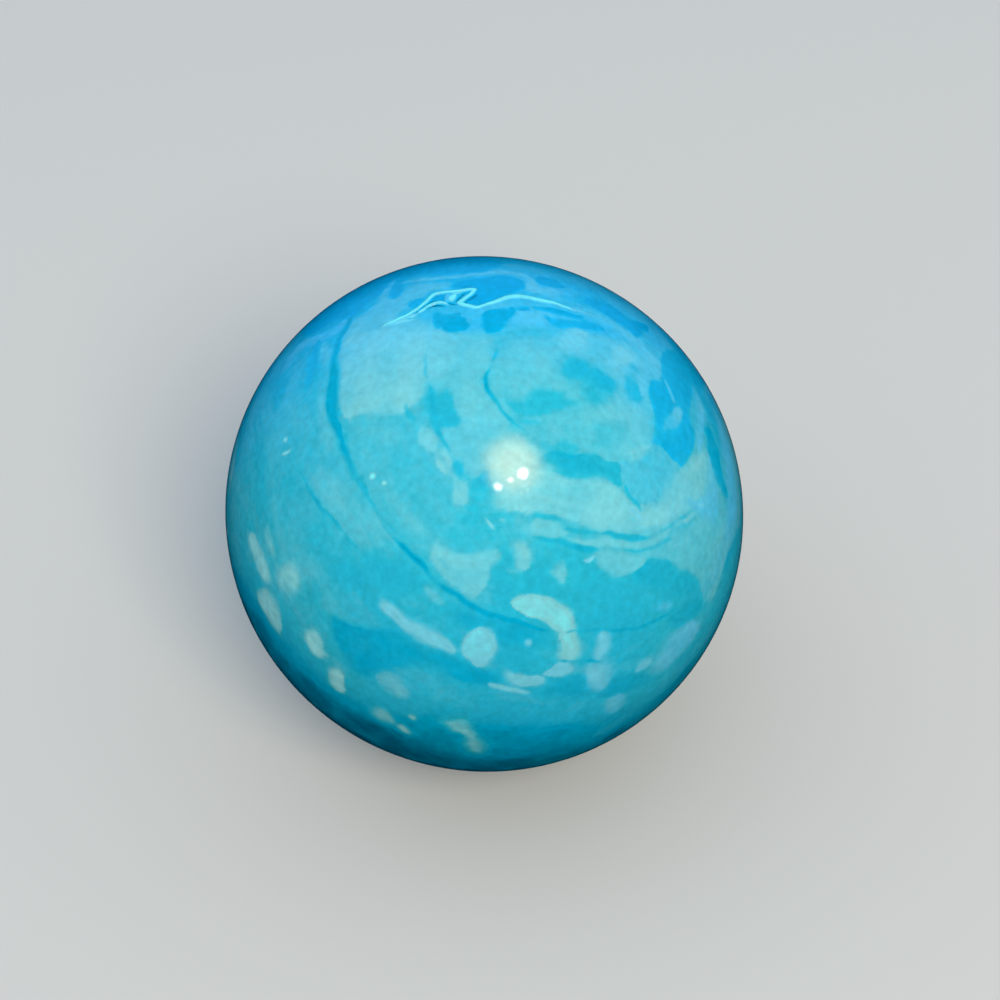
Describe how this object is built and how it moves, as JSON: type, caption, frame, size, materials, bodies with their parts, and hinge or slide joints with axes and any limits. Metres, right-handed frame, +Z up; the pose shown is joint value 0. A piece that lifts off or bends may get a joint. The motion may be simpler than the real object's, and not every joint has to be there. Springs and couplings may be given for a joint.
{
  "type": "glass marble",
  "caption": "Solid glass ball of opaque turquoise glass with pale and deep blue swirls, used as a playing marble, filler or rolling weight.",
  "frame": {"origin": "centre of the ball", "axes": "+Z up; -Y is the side seen from the front, where the eye of the swirl looks out and up"},
  "size_m": [0.025, 0.025, 0.025],
  "materials": {
    "turquoise_swirl_glass": "opaque turquoise glass, fire-polished, with a faint orange peel, a cold-roll crease, and pale, azure and deep teal swirls"
  },
  "bodies": {
    "root": {"marble": "turquoise_swirl_glass"}
  },
  "joints": []
}
